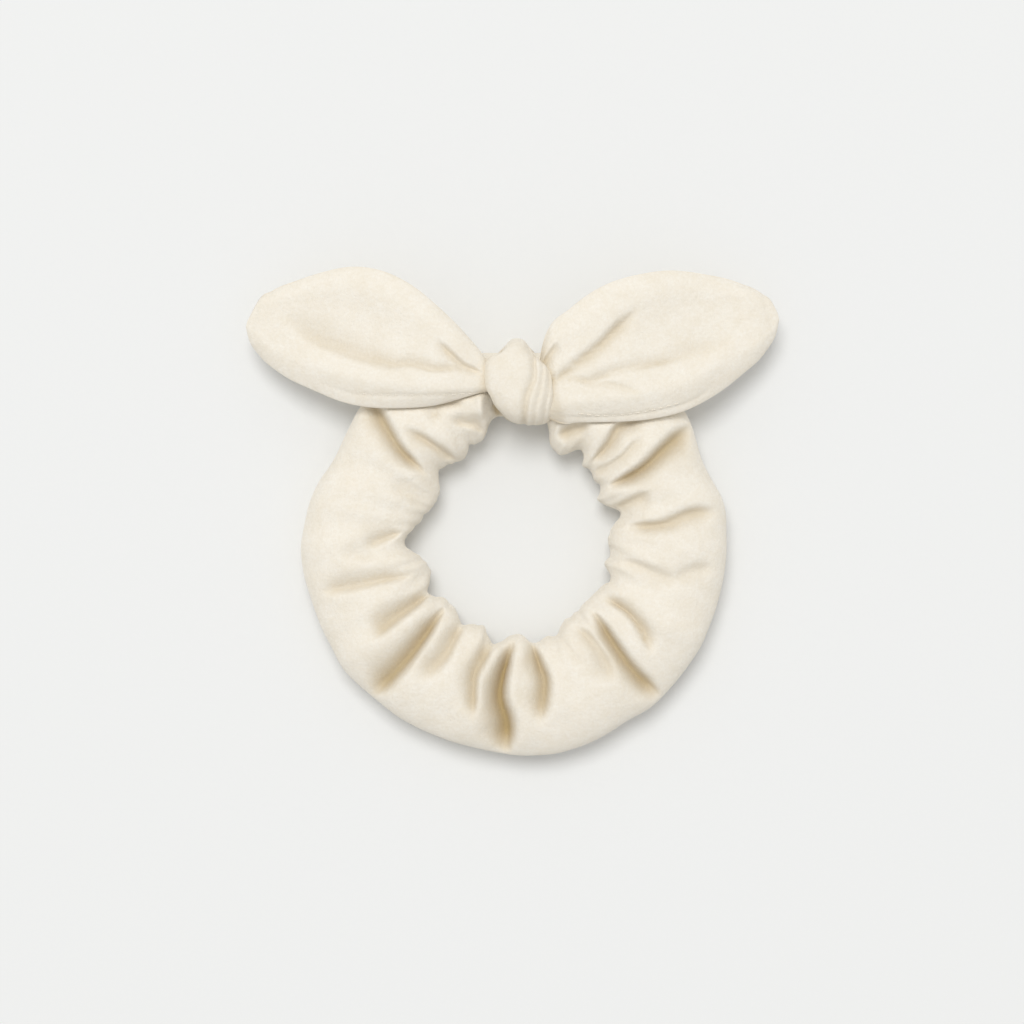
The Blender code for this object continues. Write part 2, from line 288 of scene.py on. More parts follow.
VELOUR_TIP = (0.955, 0.910, 0.815)
VELOUR_LIGHT = (0.920, 0.858, 0.745)
VELOUR_MID = (0.890, 0.820, 0.690)
# painted shade: the warm brown painted into creases and hollows, standing in for their shade and the warm
# light bounced inside them
VELOUR_PAINTED_SHADE = (0.520, 0.400, 0.210)


def ranged(tree, value, low, high):
    """Spreads a noise value between two limits over 0 to 1."""
    node = tree.nodes.new("ShaderNodeMapRange")
    node.inputs["From Min"].default_value = low
    node.inputs["From Max"].default_value = high
    tree.links.new(value, node.inputs["Value"])
    return node.outputs["Result"]


def velour():
    """Short cream pile: mottled where it lies differently, with painted shade in the folds, and a soft sheen.
    """
    material, tree, shader = shader_of("cream_velour", VELOUR_LIGHT, 0.95)
    shader.inputs["Sheen Weight"].default_value = 0.55
    shader.inputs["Sheen Roughness"].default_value = 0.38
    shader.inputs["Sheen Tint"].default_value = (1.0, 0.96, 0.89, 1.0)
    shader.inputs["Specular IOR Level"].default_value = 0.1
    patches = ranged(tree, noise(tree, 240.0, 3.0).outputs["Fac"], 0.35, 0.75)
    flecks = ranged(tree, noise(tree, 1100.0, 4.0, 0.7).outputs["Fac"], 0.40, 0.68)
    mottled = blend_colour(tree, patches, VELOUR_LIGHT, VELOUR_MID)
    flecked = blend_colour(tree, flecks, mottled, blend_colour(tree, patches, VELOUR_TIP, VELOUR_LIGHT))
    # a per-point attribute mixes the painted crease shade into the base colour
    painted_shade = tree.nodes.new("ShaderNodeAttribute")
    painted_shade.attribute_name = "painted_shade"
    tree.links.new(blend_colour(tree, painted_shade.outputs["Fac"], flecked, VELOUR_PAINTED_SHADE), shader.inputs["Base Color"])
    lie = bump(tree, noise(tree, 420.0, 2.0).outputs["Fac"], 0.0006, 0.35)
    nap = bump(tree, noise(tree, 1300.0, 3.0, 0.6).outputs["Fac"], 0.0004, 0.5, lie)
    pile = bump(tree, noise(tree, 4200.0, 2.0, 0.7).outputs["Fac"], 0.0002, 0.6, nap)
    tree.links.new(pile, shader.inputs["Normal"])
    return material


def thread_material():
    """Twisted cream thread."""
    material, tree, shader = shader_of("cream_thread", (0.92, 0.86, 0.74), 0.6)
    wave = tree.nodes.new("ShaderNodeTexWave")
    wave.inputs["Scale"].default_value = 900.0
    wave.bands_direction = "DIAGONAL"
    coordinates = tree.nodes.new("ShaderNodeTexCoord")
    tree.links.new(coordinates.outputs["Object"], wave.inputs["Vector"])
    tree.links.new(blend_colour(tree, wave.outputs["Fac"], (0.86, 0.78, 0.64), (0.95, 0.90, 0.80)),
                   shader.inputs["Base Color"])
    tree.links.new(bump(tree, wave.outputs["Fac"], 0.0002, 0.5), shader.inputs["Normal"])
    return material


def elastic_material():
    """White braided elastic, ribbed along its length."""
    material, tree, shader = shader_of("white_elastic", (0.86, 0.85, 0.82), 0.75)
    coordinates = tree.nodes.new("ShaderNodeTexCoord")
    rib = tree.nodes.new("ShaderNodeTexWave")
    rib.bands_direction = "Z"
    rib.inputs["Scale"].default_value = 300.0
    tree.links.new(coordinates.outputs["Object"], rib.inputs["Vector"])
    tree.links.new(blend_colour(tree, rib.outputs["Fac"], (0.74, 0.73, 0.70), (0.90, 0.89, 0.86)),
                   shader.inputs["Base Color"])
    tree.links.new(bump(tree, rib.outputs["Fac"], 0.0003, 0.6), shader.inputs["Normal"])
    return material


def paper():
    """The pale seamless paper that the scrunchie lies on."""
    material, tree, shader = shader_of("pale_paper", (0.86, 0.865, 0.855), 0.95)
    shader.inputs["Specular IOR Level"].default_value = 0.0
    grain = noise(tree, 900.0, 2.0)
    tree.links.new(blend_colour(tree, grain.outputs["Fac"], (0.862, 0.867, 0.857), (0.852, 0.857, 0.847)),
                   shader.inputs["Base Color"])
    return material


# ---------------------------------------------------------------- sleeve: a gathered tube of cloth

CLOTH = 1.2  # thickness of the velour
ROWS = 340
COLUMNS = 76
CLOSING_ANGLE = 1.0  # where the sleeve's ends stop, on each side of the closing seam
FLOOR_GAP = 0.02
TOP_GAP = 0.4  # the even tube's top is this far below the top of its solids
WIDEST = 0.46  # height at which the tube is widest, as a share of its own
SIDE_SQUARE, TOP_SQUARE = 0.86, 0.78
OUTER_DROP = 0.10  # share by which the top is lower towards the outer edge
EVEN_INNER = 26.6  # radius of the inner edge where its folds have died out
EAR_CLEARANCE = 0.45
UNDER_SHIFT = 9.0  # the creases of the underside, turned from those on top
# strength of the painted shade in the sleeve's creases
PAINTED_FOLD_SHADE = 1.05
# uneven noise over the ring: its scale along and across the tube, and a seed
WAVE = (13.0, 30.0, 3.0)
PUCKER = (5.0, 12.0, 11.0)
GATHERS = (2.4, 16.0, 23.0)
NOISE_RADIUS, NOISE_HEIGHT = 44.0, 14.0
STRAIGHT_UP_TO = 40.0  # the ring runs straight through the knot, within this angle of it
# angles from the knot's middle over which the sleeve widens, and over which it rises, on each side
ELASTIC_Z = (ELASTIC_LOW[2] + ELASTIC_HIGH[2]) / 2
NECK_OPENS_LEFT = (5.0, 18.0)
NECK_OPENS_RIGHT = (12.0, 23.0)
NECK_RISES_LEFT = (5.0, 15.0)
NECK_RISES_RIGHT = (9.0, 18.0)

# (angle, radius) of the sleeve's outer edge
OUTER_EDGE = ((0, 48.7), (14, 48.7), (30, 50.2), (46, 53.2), (52, 52.8), (58, 52.0), (68, 52.0), (78, 54.4),
              (88, 56.2), (98, 57.2), (109, 57.0), (120, 57.6), (130, 58.4), (140, 58.1), (150, 58.3),
              (160, 58.4), (170, 58.6), (180, 59.8), (190, 60.5), (200, 60.1), (210, 59.2), (219, 59.8),
              (230, 59.1), (240, 58.7), (252, 58.0), (264, 57.4), (279, 56.8), (286, 54.8), (291, 54.2),
              (299, 55.4), (307, 56.6), (318, 54.2), (332, 51.2), (346, 48.7), (360, 48.7))
# (angle, radius) of its inner edge, in and out over the puffs between the gathers
INNER_EDGE = ((0, 30.0), (9, 30.0), (15, 26.6), (22, 25.6), (27, 26.0), (33, 23.4), (41, 24.6), (51, 25.6),
              (56, 23.6), (67, 22.2), (78, 24.0), (88, 26.4), (97, 29.4), (104, 26.0), (116, 24.7),
              (126, 28.0), (133, 25.8), (143, 25.8), (151, 28.4), (158, 26.6), (164, 27.0), (167, 28.8),
              (170, 30.6), (174, 29.2), (179, 27.8), (185, 27.8), (188, 29.2), (191, 30.6), (197, 29.4),
              (203, 30.2), (208, 27.8), (217, 27.4), (225, 27.2), (235, 27.4), (245, 28.8), (251, 26.0),
              (257, 26.6), (263, 25.6), (272, 26.4), (281, 29.2), (287, 25.2), (292, 24.4), (298, 26.8),
              (303, 25.6), (308, 26.4), (313, 25.8), (321, 28.6), (327, 24.6), (337, 25.6), (343, 29.2),
              (351, 30.0), (360, 30.0))
# creases: depth, half width at each end, then (angle, radius) along it
CREASES = (
    (4.6, 2.0, 0.8, (47, 52), (51, 42.5), (54, 36.5), (56, 28)),
    (2.8, 1.1, 1.0, (46, 39), (42, 31), (38, 23)),
    (2.0, 0.8, 1.0, (16, 27), (19, 30), (23, 31.4), (29, 34)),
    (2.0, 0.9, 0.8, (21, 36.5), (26, 38.2), (32, 38.0), (37, 35.0)),
    (5.0, 1.4, 1.0, (5, 29), (7.5, 32.5), (9, 35.5)),
    (1.0, 1.4, 1.6, (74, 24), (71, 29), (68, 35)),
    (2.4, 0.7, 2.0, (90, 30), (93, 35), (95, 40)),
    (1.0, 1.6, 1.8, (101, 37), (97, 46)),
    (2.6, 0.9, 1.6, (113, 30), (110, 37), (109, 43), (107, 54)),
    (3.6, 0.9, 2.0, (127, 27.5), (126, 37.6), (127, 47)),
    (5.2, 0.9, 2.8, (138, 28), (140, 38.4), (140, 47), (139, 59)),
    (3.0, 1.4, 2.4, (151, 28), (151, 33.5), (151, 37.5), (147, 46)),
    (4.0, 1.6, 1.2, (169, 30), (166, 35.7), (165, 40.2), (168, 51)),
    (7.0, 1.1, 3.0, (180, 30), (176, 38.4), (175.5, 44.4), (178, 50.7), (178, 60)),
    (4.8, 1.5, 1.9, (189, 30), (191, 36.4), (192, 41), (188, 51)),
    (1.0, 0.6, 0.8, (204, 30.5), (206, 35), (208, 41)),
    (2.6, 1.2, 2.6, (213, 30), (216, 38), (214, 48)),
    (5.2, 1.1, 1.9, (225, 31), (222, 41), (221, 49.4), (222, 60)),
    (3.6, 1.0, 1.0, (229, 48), (233, 42.5), (235, 36.5), (234, 29.5)),
    (1.7, 0.8, 2.2, (256, 30), (255, 36), (253, 46)),
    (1.4, 1.6, 2.0, (253, 44), (258, 48.5), (260, 54)),
    (3.2, 0.8, 1.9, (273, 31), (273, 40), (276, 47), (276, 55)),
    (2.6, 0.9, 1.5, (283, 28), (285, 33), (286, 38)),
    (5.0, 0.9, 2.5, (296, 29), (296, 36), (297, 40.5), (299, 46), (301, 56)),
    (3.4, 0.8, 1.5, (312, 28), (313, 35), (315, 40), (311, 47)),
    (2.0, 0.6, 1.2, (307, 26), (305, 31), (305, 36), (307, 43)),
    (3.2, 1.7, 1.4, (335, 28.5), (330, 32), (324, 35)))
# puffs that stand up beside the knot, written like the creases
RIDGES = (
    (3.0, 1.7, 1.6, (12.5, 38.5), (13.5, 36.5), (15, 33.5), (15.5, 31)),
    (1.6, 2.0, 1.6, (18, 37.0), (22, 39.5), (27, 41)))


def ring_places(angle, radius, height):
    turn = np.radians(angle)
    return np.stack([-radius * np.sin(turn), RING_Y + radius * np.cos(turn), height], axis=-1)


def organic(grid, along_scale, across_scale, seed):
    """Smooth uneven noise over the ring, stretched across the tube, from about -1 to 1."""
    flat = grid.reshape(-1, 3)
    radius = np.hypot(flat[:, 0], flat[:, 1] - RING_Y)
    angle = np.arctan2(-flat[:, 0], flat[:, 1] - RING_Y)
    reach = NOISE_RADIUS / along_scale
    spots = np.stack([reach * np.cos(angle), reach * np.sin(angle), radius / across_scale + seed], axis=1)
    lift = flat[:, 2] / NOISE_HEIGHT
    values = [noise_at(Vector((a, b, c + d))) for (a, b, c), d in zip(spots.tolist(), lift.tolist())]
    return np.array(values).reshape(grid.shape[:2])


def on_ring(creases, shift=0.0):
    return [(depth, start, end, [ring_places(angle + shift, radius, 0.0)[:2] for angle, radius in line])
            for depth, start, end, *line in creases]


def inside_knot(angle, left=NECK_OPENS_LEFT, right=NECK_OPENS_RIGHT):
    return 1.0 - smooth_step(angle, *left) + smooth_step(angle, 360.0 - right[1], 360.0 - right[0])


def straight_through(angle):
    """What a radius is multiplied by where the ring runs straight through the knot."""
    from_knot = np.minimum(np.minimum(angle, 360.0 - angle), STRAIGHT_UP_TO)
    return 1.0 / np.cos(np.radians(from_knot))


def sleeve_edges(angle):
    """Inner and outer radius and lowest and highest z of the sleeve at an angle round the ring."""
    neck = inside_knot(angle)
    rise = inside_knot(angle, NECK_RISES_LEFT, NECK_RISES_RIGHT)
    straight = straight_through(angle)
    inner = mix(through(INNER_EDGE, angle), (NECK_LOW[1] - RING_Y - CLOTH / 2) * straight, neck)
    outer = mix(through(OUTER_EDGE, angle), (NECK_HIGH[1] - RING_Y + CLOTH / 2) * straight, neck)
    low = mix(FLOOR_GAP, NECK_LOW[2] - CLOTH / 2, neck)
    high = mix(RING_TOP - TOP_GAP, NECK_HIGH[2] + CLOTH / 2, rise)
    return inner, outer, low, high


def sleeve_points(angle, step):
    """The puffed tube: step runs round it from the outer edge over the top to the inner edge."""
    inner, outer, low, high = sleeve_edges(angle)
    over = np.sin(step)
    cross = power(np.cos(step), SIDE_SQUARE)
    share = (1.0 + cross) / 2
    rounded = power(over, TOP_SQUARE)
    inward = 1.0 - smooth_step(share, 0.0, 0.45)
    # the folds of the inner edge die out towards the top and the floor
    even = mix(EVEN_INNER, inner, inside_knot(angle))
    rim = mix(even, inner, 0.35 + 0.65 * np.clip(1.0 - np.abs(over) ** 1.5, 0.0, 1.0))
    start = mix(inner, rim, inward)
    radius = start + (outer - start) * share
    middle = low + (high - low) * WIDEST
    top = middle + rounded * (high - middle) * (1.0 - OUTER_DROP * smooth_step(share, 0.55, 1.0))
    bottom = middle + rounded * (middle - low)
    return ring_places(angle, radius, np.where(over >= 0.0, top, bottom))


def press_under_ears(grid):
    """Flattens the puffs that the ears lie on, so that they end just below the ears' backs."""
    grid = grid.copy()
    for ear in EARS:
        e, s = ear.local(grid)
        q = np.clip(2 * (s - ear.lower(e)) / (ear.upper(e) - ear.lower(e)) - 1.0, -1.0, 1.0)
        inside = smooth_step(s, ear.lower(e) - 0.9, ear.lower(e) + 0.1) * smooth_step(e, -1.0, 1.5)
        inside = inside * (1.0 - smooth_step(e, 54.0, 62.0))
        limit = ear_heights(ear, e, s, q)[1] - EAR_CLEARANCE
        knee = 0.8 * limit
        rise = grid[..., 2] - knee
        eased = knee + (limit - knee) * np.tanh(rise / (limit - knee))
        pressed = np.where(rise > 0.0, eased, grid[..., 2])
        grid[..., 2] = mix(grid[..., 2], pressed, inside)
    return grid


def make_sleeve(material):
    share = np.linspace(0.0, 1.0, ROWS + 1)
    angles = CLOSING_ANGLE + (360.0 - 2 * CLOSING_ANGLE) * share
    angle, step = np.meshgrid(angles, np.arange(COLUMNS) / COLUMNS * 2 * math.pi, indexing="ij")
    grid = sleeve_points(angle, step)
    over = np.sin(step)
    upper = smooth_step(over, 0.05, 0.55)
    lower = smooth_step(-over, 0.05, 0.55)
    sunk, bank, shade = sink(grid[..., :2], on_ring(CREASES))
    under = sink(grid[..., :2], on_ring(CREASES, shift=UNDER_SHIFT))[0]
    ridge = sink(grid[..., :2], on_ring(RIDGES))[0]
    free = 1.0 - inside_knot(angle)
    wave = organic(grid, *WAVE)
    pucker = organic(grid, *PUCKER)
    gathers = organic(grid, *GATHERS) * smooth_step(-np.cos(step), 0.0, 0.85)
    puff = 0.9 * wave + 0.5 * pucker
    grid[..., 2] += ((puff + bank - sunk) * free + ridge) * upper
    grid[..., 2] += np.maximum(0.0, 0.8 * under - puff) * lower * free
    grid = grid + grid_normals(grid) * ((0.30 * pucker + 0.55 * gathers) * free)[..., None]
    grid = press_under_ears(relax(grid, 0.25, 1))
    grid[..., 2] = np.maximum(grid[..., 2], FLOOR_GAP)
    # painted shade in the creases on the sleeve's top
    painted_shade = PAINTED_FOLD_SHADE * shade * upper
    sleeve = grid_mesh("sleeve", grid[:, ::-1], painted_shade=painted_shade[:, ::-1])
    wall = sleeve.modifiers.new("cloth", "SOLIDIFY")
    wall.thickness = CLOTH * MM
    wall.offset = -1.0
    add_subdivision(sleeve, 1)
    sleeve.data.materials.append(material)
    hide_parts("sleeve_left_shoulder", "sleeve_right_shoulder", "sleeve_far_half")
    stretch(sleeve)


def stretch(piece):
    """Bakes the piece's transform into its mesh."""
    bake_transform(piece)


# ---------------------------------------------------------------- ears

class Ear:
    """Where one ear is. Along (e) runs from its pivot in the knot to its tip, across (s) towards +Y.

    dish is where its hollow is along and across, its two half sizes and its depth; roll is the line of the
    soft ridge along its lower side; seam is the line of its stitches.
    """

    def __init__(self, name, side, upper, lower, creases, dish, roll, seam):
        self.name = name
        self.side = side
        self.upper_points, self.lower_points = upper, lower
        self.creases, self.dish, self.roll, self.seam = creases, dish, roll, seam
        self.pivot = np.array(JOINTS[f"{name}_ear_swing"]["pos_m"][:2]) / MM
        self.along = np.array([side * math.cos(EAR_TURN), math.sin(EAR_TURN)])
        self.across = np.array([-side * math.sin(EAR_TURN), math.cos(EAR_TURN)])
        self.length = upper[-1][0]

    def local(self, grid):
        flat = grid[..., :2] - self.pivot
        return flat @ self.along, flat @ self.across

    def upper(self, e):
        return through(self.upper_points, e)

    def lower(self, e):
        return through(self.lower_points, e)

    def middle(self, e):
        """Height of the ear's middle: level over the ring's shoulder, drooping to the tip."""
        return EAR_MIDDLE + EAR_LIFT - EAR_DROOP * smooth_step(e, 16.0, self.length) ** 1.2

    def place(self, e, s, z):
        flat = self.pivot + e[..., None] * self.along + s[..., None] * self.across
        return np.concatenate([flat, z[..., None]], axis=-1)


EAR_HALF = 3.4  # half the thickness of a plump ear
EAR_EDGE = 1.2  # and close to its rim
EAR_BACK = 1.8  # taken off the plump half where the back swells beyond its edge
EAR_DROOP = 7.0  # how much lower the tip lies than the root
EAR_LIFT = 0.3
EAR_SAG = 1.2  # at most how much lower the ear's lower side lies
ROLL_HEIGHT, ROLL_WIDTH = 1.1, 3.6
LEFT_EAR = Ear(
    "left", -1,
    upper=((-1.5, 2.6), (1.0, 3.8), (4.5, 7.0), (9.3, 10.5), (19, 16.2), (28.5, 20.4), (37.5, 21.9),
           (45, 20.8), (51, 18.0), (58, 13.6), (63.5, 9.4), (66.8, 5.0), (68.2, -1.3)),
    lower=((-1.5, -1.6), (1.0, -2.0), (3.6, -3.3), (7.7, -5.8), (12.5, -8.6), (22.6, -12.3), (32, -14.3),
           (38, -14.5), (45, -13.6), (56, -11.3), (62.5, -8.2), (66.4, -4.6), (68.2, -1.3)),
    creases=((1.7, 2.3, 1.0, ((57, 3.0), (51, 0.6), (43, -1.0), (34, -1.7), (27, -1.8), (21, -0.3))),
             (2.1, 0.7, 0.6, ((38, -1.4), (31, -1.6), (27, -1.8), (22.6, -0.3), (15.7, -0.1), (11.8, 1.3),
                              (5, 3.0))),
             (1.9, 0.6, 0.8, ((4.0, 2.5), (8.6, 3.0), (11.7, 4.4), (17.5, 7.6))),
             (0.35, 0.5, 0.5, ((3.0, -2.8), (11, -5.6), (23.5, -9.0), (35.5, -11.6), (46, -10.8)))),
    dish=(43.0, 5.0, 18.0, 9.5, 2.1),
    roll=((2.0, -1.2), (12, -3.8), (22, -5.6), (32, -7.0), (46, -7.4)),
    seam=((4.5, -3.4), (11, -5.6), (23.5, -9.0), (34, -11.3)))
RIGHT_EAR = Ear(
    "right", 1,
    upper=((-2.0, 3.6), (0.5, 6.0), (2.2, 9.6), (4.3, 13.0), (12.5, 18.0), (21.7, 21.3), (32.9, 21.9),
           (41, 20.8), (48.5, 18.0), (58, 12.9), (63, 8.6), (65.2, 5.0), (65.9, 1.5)),
    lower=((-2.0, -6.4), (-0.6, -8.8), (1.2, -10.4), (7, -12.0), (12.4, -13.4), (25.5, -16.0), (34.6, -16.2),
           (44.3, -14.0), (52.3, -10.7), (60.0, -6.4), (64.3, -1.8), (65.9, 1.5)),
    creases=((2.6, 0.6, 1.3, ((1.0, 0.5), (5.8, 1.4), (10.8, 3.7), (16.6, 6.1), (20.7, 8.4), (29, 13.0))),
             (1.0, 1.6, 0.9, ((50, -1.6), (40, -2.0), (32.5, -2.5), (25, -1.8), (18, -1.6))),
             (2.0, 0.6, 0.6, ((40, -2.1), (32.5, -2.5), (25, -1.8), (18, -1.6), (12.2, -2.4), (8.7, -0.9),
                              (2, 1.4))),
             (1.2, 0.5, 0.8, ((10.0, -1.8), (12.4, -2.5), (17.3, -4.4), (24, -8.2))),
             (1.6, 0.7, 1.0, ((0.6, 4.4), (1.9, 5.7), (5.1, 8.3), (6.6, 9.8))),
             (0.4, 0.5, 0.5, ((2.0, -9.0), (10, -11.4), (23, -13.9), (36, -14.2), (46, -10.8)))),
    dish=(40.0, 6.0, 18.0, 10.0, 2.0),
    roll=((2.0, -5.0), (12, -7.2), (25, -9.0), (38, -9.4), (52, -3.0)),
    seam=((7.0, -9.6), (10.2, -10.9), (23.2, -13.6), (34.0, -13.9)))
EARS = (LEFT_EAR, RIGHT_EAR)


def ear_heights(ear, e, s, q):
    """Top and bottom heights of an ear: a turned double layer, plump at its rim and dished inside."""
    rim = np.clip(1.0 - np.abs(q), 0.0, 1.0)
    round_edge = np.sqrt(np.clip(1.0 - (1.0 - np.minimum(rim / 0.2, 1.0)) ** 2, 0.0, 1.0))
    width = (ear.upper(e) - ear.lower(e)) / 2
    plump = EAR_HALF * np.clip(width / 10.0, 0.6, 1.0)
    tip = np.sqrt(np.clip(1.0 - np.clip((e - ear.length + 5.0) / 5.2, 0.0, 1.0) ** 2, 0.0, 1.0))
    top = EAR_EDGE * round_edge + (plump - EAR_EDGE) * smooth_step(rim, -0.1, 0.42)
    along, across, reach, breadth, depth = ear.dish
    bowl = np.exp(-(((e - along) / reach) ** 2 + ((s - across) / breadth) ** 2) ** 1.5)
    top = top - depth * bowl
    ridge = through(ear.roll, np.clip(e, ear.roll[0][0], ear.roll[-1][0]))
    top = top + ROLL_HEIGHT * np.exp(-((s - ridge) / ROLL_WIDTH) ** 2) * (1.0 - smooth_step(e, 38.0, 56.0))
    sunk, bank, shade = sink(np.stack([e, s], axis=-1), ear.creases)
    top = top + bank - sunk - 0.8 * (1.0 - smooth_step(e, 1.5, 6.0))
    shade = shade + 0.22 * (1.0 - smooth_step(e, 1.8, 4.6))
    bottom = EAR_EDGE * round_edge + (plump - EAR_BACK) * smooth_step(rim, -0.1, 0.5)
    sag = EAR_SAG * smooth_step(-s, -8.0, 12.0) * smooth_step(e, 24.0, 50.0)
    base = ear.middle(e) - sag
    top = np.maximum(top, -0.6 * bottom + 0.5)
    return base + tip * top, base - tip * bottom, shade


EAR_ROWS = 176
EAR_COLUMNS = 140
TIP_END = 0.25  # the last row stops this far from the outline's tip
RIM_CROWDING = 0.75  # crowds the columns towards the ear's two edges when below 1
# strength of the painted shade in the ears' creases and at their roots
EAR_PAINTED_FOLD_SHADE = 1.3


def make_ear(ear, material):
    rows, half = EAR_ROWS, EAR_COLUMNS // 2
    root = ear.upper_points[0][0]
    e_row = mix(root, ear.length - TIP_END, 1.0 - (1.0 - np.linspace(0.0, 1.0, rows)) ** 1.3)
    turn = np.arange(2 * half) / (2 * half) * 2 * math.pi
    e, around = np.meshgrid(e_row, turn, indexing="ij")
    q = power(np.cos(around), RIM_CROWDING)
    s = mix(ear.lower(e), ear.upper(e), (q + 1.0) / 2)
    top, bottom, shade = ear_heights(ear, e, s, q)
    z = np.where(np.sin(around) >= 0.0, top, bottom)
    grid = ear.place(e, s, z)
    # painted shade on the ear's top, from its creases and at its root by the knot
    painted_shade = EAR_PAINTED_FOLD_SHADE * shade * (np.sin(around) >= 0.0)
    if ear.side < 0:
        grid, painted_shade = grid[:, ::-1], painted_shade[:, ::-1]
    grid[2:-1] = relax(grid, 0.3, 2)[2:-1]
    piece = grid_mesh(f"{ear.name}_ear", grid, painted_shade=painted_shade)
    close_ends(piece, rows, 2 * half)
    add_subdivision(piece, 1)
    piece.data.materials.append(material)
    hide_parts(f"{ear.name}_ear_neck", f"{ear.name}_ear_front_panel", f"{ear.name}_ear_back_panel")
    bend_ear(piece)


def bend_ear(piece):
    """Bakes a piece's transform into its mesh."""
    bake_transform(piece)


def capsule_row(name, starts, ends, lifts, radius):
    """Small stitches: short rounded bars between pairs of points."""
    sides, rings = 8, ((0.0, 0.35), (0.12, 0.8), (0.3, 1.0), (0.7, 1.0), (0.88, 0.8), (1.0, 0.35))
    points, faces = [], []
    for start, end, up in zip(starts, ends, lifts):
        way = (end - start) / np.linalg.norm(end - start)
        out = np.cross(way, up)
        out /= np.linalg.norm(out)
        over = np.cross(out, way)
        base = len(points)
        for share, size in rings:
            for side in range(sides):
                angle = 2 * math.pi * side / sides
                spoke = out * math.cos(angle) + over * math.sin(angle)
                points.append(mix(start, end, share) + radius * size * spoke)
        for ring in range(len(rings) - 1):
            for side in range(sides):
                after = (side + 1) % sides
                a, b = base + ring * sides, base + (ring + 1) * sides
                faces.append((a + side, a + after, b + after, b + side))
        last = base + (len(rings) - 1) * sides
        faces.append(tuple(base + side for side in range(sides))[::-1])
        faces.append(tuple(last + side for side in range(sides)))
    mesh = bpy.data.meshes.new(name)
    mesh.from_pydata([tuple(point * MM) for point in points], [], faces)
    mesh.shade_smooth()
    obj = bpy.data.objects.new(name, mesh)
    bpy.context.scene.collection.objects.link(obj)
    return obj


STITCH = 1.3
STITCH_PITCH = 2.1
STITCH_RADIUS = 0.2


def make_ear_stitches(ear, material):
    """The row of small stitches a little inside the ear's lower edge."""
    first, last = ear.seam[0][0], ear.seam[-1][0]
    starts, ends, lifts = [], [], []
    e = first
    while e + STITCH < last:
        pair = []
        for along in (e, e + STITCH):
            s = float(through(ear.seam, np.array(along)))
            low, high = float(ear.lower(np.array(along))), float(ear.upper(np.array(along)))
            q = (s - low) / (high - low) * 2.0 - 1.0
            top, _, _ = ear_heights(ear, np.array(along), np.array(s), np.array(q))
            pair.append(ear.place(np.array(along), np.array(s), np.array(float(top) - 0.02)))
        starts.append(pair[0])
        ends.append(pair[1])
        lifts.append(np.array([0.0, 0.0, 1.0]))
        e += STITCH_PITCH
    piece = capsule_row(f"{ear.name}_ear_stitches", starts, ends, lifts, STITCH_RADIUS)
    piece.data.materials.append(material)
    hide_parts(f"{ear.name}_ear_edge_seam")
    bend_ear(piece)


# ---------------------------------------------------------------- knot

# (turn round the ring, x of the left edge, x of the right edge): 0 faces +Y, 90 up, 180 -Y, 270 down
KNOT_EDGES = (
    (0, -2.4, 4.4), (16, -2.6, 4.6), (30, -3.0, 5.0), (42, -4.4, 5.6), (52, -6.4, 6.4), (62, -7.2, 7.6),
    (76, -7.5, 9.4), (90, -7.5, 10.3), (109, -5.9, 10.6), (125, -4.9, 10.6), (150, -2.6, 10.2),
    (180, -0.2, 9.8),
    (215, -3.0, 9.6), (270, -6.0, 8.5), (320, -4.6, 6.4), (360, -2.4, 4.4))
AROUND_KNOT = 0.2  # millimetres of cloth for a degree round the knot
# as creases, on (millimetres round the knot, x)
KNOT_PLEATS = (
    (1.3, 0.55, 0.7, ((8, 5.6), (13.8, 5.6), (17.3, 5.7), (18.8, 4.7), (22, 3.5), (32, 3.1), (40, 3.0))),
    (0.55, 0.5, 0.6, ((11, 7.4), (16, 7.9), (20, 7.0), (25, 5.9), (38, 5.4))),
    (0.45, 0.5, 0.5, ((14, 9.2), (19, 9.4), (26, 8.4), (36, 7.8))),
    (0.8, 0.9, 0.9, ((5, -3.4), (8, -2.8), (11, -4.6))),
    (0.7, 0.8, 0.9, ((5, 3.8), (9, 4.6), (12, 5.6))))


KNOT_ROWS = 200
KNOT_COLUMNS = 120
KNOT_SQUARE = 0.72
KNOT_BORE = 0.66  # the knot's inner surface, as a share of its outer size
KNOT_BORE_WIDTH = 0.94
KNOT_DROP, KNOT_DROP_LESS = 0.20, 0.08  # share its edges drop by, and how much less beside the hole
KNOT_MEAN_HALF = 12.5  # the half size that the pleats' depths are taken on


